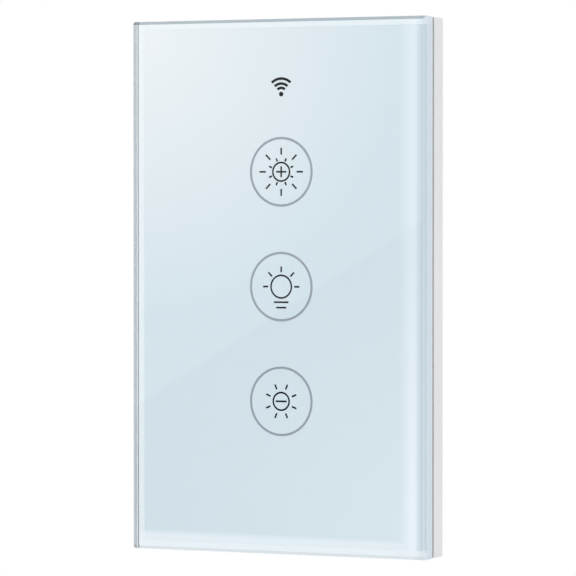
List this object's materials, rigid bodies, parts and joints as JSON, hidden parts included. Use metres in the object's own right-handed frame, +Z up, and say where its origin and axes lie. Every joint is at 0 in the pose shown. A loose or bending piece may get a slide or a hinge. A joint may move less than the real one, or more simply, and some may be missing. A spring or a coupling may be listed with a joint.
{
  "type": "touch dimmer wall switch",
  "caption": "Wall-mounted touch light dimmer: a flat glass plate with printed touch fields on a clip-on tray, over a mounting frame, circuit boards and a rear housing with screw terminals.",
  "frame": {"origin": "midway between the two wall-box screw slots, on the plane of the wall that the mounting frame lies against", "axes": "+Z up along the long side of the plate, +Y into the wall, +X to the right for someone facing the glass, whose front faces -Y"},
  "size_m": [0.072, 0.0306, 0.118],
  "materials": {
    "clear_glass": "polished",
    "pale_ink": "smooth print",
    "grey_ink": "smooth print",
    "dark_ink": "smooth print",
    "foam_tape": "matte",
    "tray_plastic": "fine satin",
    "clear_plastic": "clear",
    "frame_plastic": "fine matte",
    "plated_steel": "zinc plated",
    "shield_plastic": "fine matte",
    "white_board": "white solder mask",
    "spring_wire": "plated wire",
    "lamp_resin": "clear resin",
    "chip_plastic": "moulded",
    "blue_board": "blue solder mask",
    "can_metal": "tinned sheet",
    "connector_plastic": "moulded",
    "pin_metal": "gold flashed",
    "green_board": "green solder mask",
    "film_box": "moulded box",
    "fuse_box": "moulded",
    "varistor_coat": "dipped epoxy",
    "ferrite": "sintered",
    "enamelled_copper": "enamelled wire",
    "coil_wrap": "polyester tape",
    "can_sleeve": "shrink sleeve",
    "sink_metal": "mill finish",
    "terminal_plastic": "moulded",
    "contact_metal": "tinned brass",
    "screw_steel": "nickel plated",
    "clamp_metal": "plated",
    "housing_plastic": "fine matte"
  },
  "bodies": {
    "base": {"mounting_frame": "frame_plastic", "upper_ear": "plated_steel", "lower_ear": "plated_steel", "inner_shield": "shield_plastic", "touch_board": "white_board", "touch_spring_brighter": "spring_wire", "touch_spring_lamp": "spring_wire", "touch_spring_dimmer": "spring_wire", "led_brighter": "lamp_resin", "led_lamp": "lamp_resin", "led_dimmer": "lamp_resin", "led_wireless": "lamp_resin", "touch_chip": "chip_plastic", "wireless_board": "blue_board", "wireless_can": "can_metal", "pin_header": "connector_plastic", "header_pins": "pin_metal", "header_socket": "connector_plastic", "power_board": "green_board", "film_capacitor": "film_box", "fuse": "fuse_box", "surge_varistor": "varistor_coat", "choke_core": "ferrite", "choke_winding": "enamelled_copper", "transformer_core": "ferrite", "transformer_coil": "coil_wrap", "bulk_capacitor_1": "can_sleeve", "bulk_capacitor_2": "can_sleeve", "power_transistor_1": "chip_plastic", "power_transistor_2": "chip_plastic", "heat_sink": "sink_metal", "terminal_block": "terminal_plastic", "terminal_contact_1": "contact_metal", "terminal_contact_2": "contact_metal", "terminal_contact_3": "contact_metal", "terminal_contact_4": "contact_metal", "rear_housing": "housing_plastic", "housing_screws": "screw_steel"},
    "panel": {"glass_panel": "clear_glass", "back_print": "pale_ink", "touch_ring_brighter": "grey_ink", "touch_ring_lamp": "grey_ink", "touch_ring_dimmer": "grey_ink", "icon_brighter": "dark_ink", "icon_lamp": "dark_ink", "icon_dimmer": "dark_ink", "icon_wireless": "dark_ink", "panel_tape": "foam_tape", "cover_tray": "tray_plastic", "light_guide": "clear_plastic"},
    "screw_1": {"terminal_screw_1": "screw_steel"},
    "clamp_1": {"terminal_clamp_1": "clamp_metal"},
    "screw_2": {"terminal_screw_2": "screw_steel"},
    "clamp_2": {"terminal_clamp_2": "clamp_metal"},
    "screw_3": {"terminal_screw_3": "screw_steel"},
    "clamp_3": {"terminal_clamp_3": "clamp_metal"},
    "screw_4": {"terminal_screw_4": "screw_steel"},
    "clamp_4": {"terminal_clamp_4": "clamp_metal"}
  },
  "joints": [
    {"name": "cover_pull", "type": "slide", "parent": "base", "child": "panel", "axis": [0, -1, 0], "range_m": [0, 0.025]},
    {"name": "terminal_screw_1_turn", "type": "hinge", "parent": "base", "child": "screw_1", "pos_m": [-0.0114, 0.0171, -0.0272], "axis": [0, -1, 0], "range_deg": [0, 1620]},
    {"name": "terminal_clamp_1_lift", "type": "slide", "parent": "base", "child": "clamp_1", "axis": [0, 1, 0], "range_m": [0, 0.00225]},
    {"name": "terminal_screw_2_turn", "type": "hinge", "parent": "base", "child": "screw_2", "pos_m": [-0.0038, 0.0171, -0.0272], "axis": [0, -1, 0], "range_deg": [0, 1620]},
    {"name": "terminal_clamp_2_lift", "type": "slide", "parent": "base", "child": "clamp_2", "axis": [0, 1, 0], "range_m": [0, 0.00225]},
    {"name": "terminal_screw_3_turn", "type": "hinge", "parent": "base", "child": "screw_3", "pos_m": [0.0038, 0.0171, -0.0272], "axis": [0, -1, 0], "range_deg": [0, 1620]},
    {"name": "terminal_clamp_3_lift", "type": "slide", "parent": "base", "child": "clamp_3", "axis": [0, 1, 0], "range_m": [0, 0.00225]},
    {"name": "terminal_screw_4_turn", "type": "hinge", "parent": "base", "child": "screw_4", "pos_m": [0.0114, 0.0171, -0.0272], "axis": [0, -1, 0], "range_deg": [0, 1620]},
    {"name": "terminal_clamp_4_lift", "type": "slide", "parent": "base", "child": "clamp_4", "axis": [0, 1, 0], "range_m": [0, 0.00225]}
  ],
  "couplings": [
    {"joint": "terminal_screw_1_turn", "follows": "terminal_clamp_1_lift", "rad_per_m": 12566},
    {"joint": "terminal_screw_2_turn", "follows": "terminal_clamp_2_lift", "rad_per_m": 12566},
    {"joint": "terminal_screw_3_turn", "follows": "terminal_clamp_3_lift", "rad_per_m": 12566},
    {"joint": "terminal_screw_4_turn", "follows": "terminal_clamp_4_lift", "rad_per_m": 12566}
  ]
}
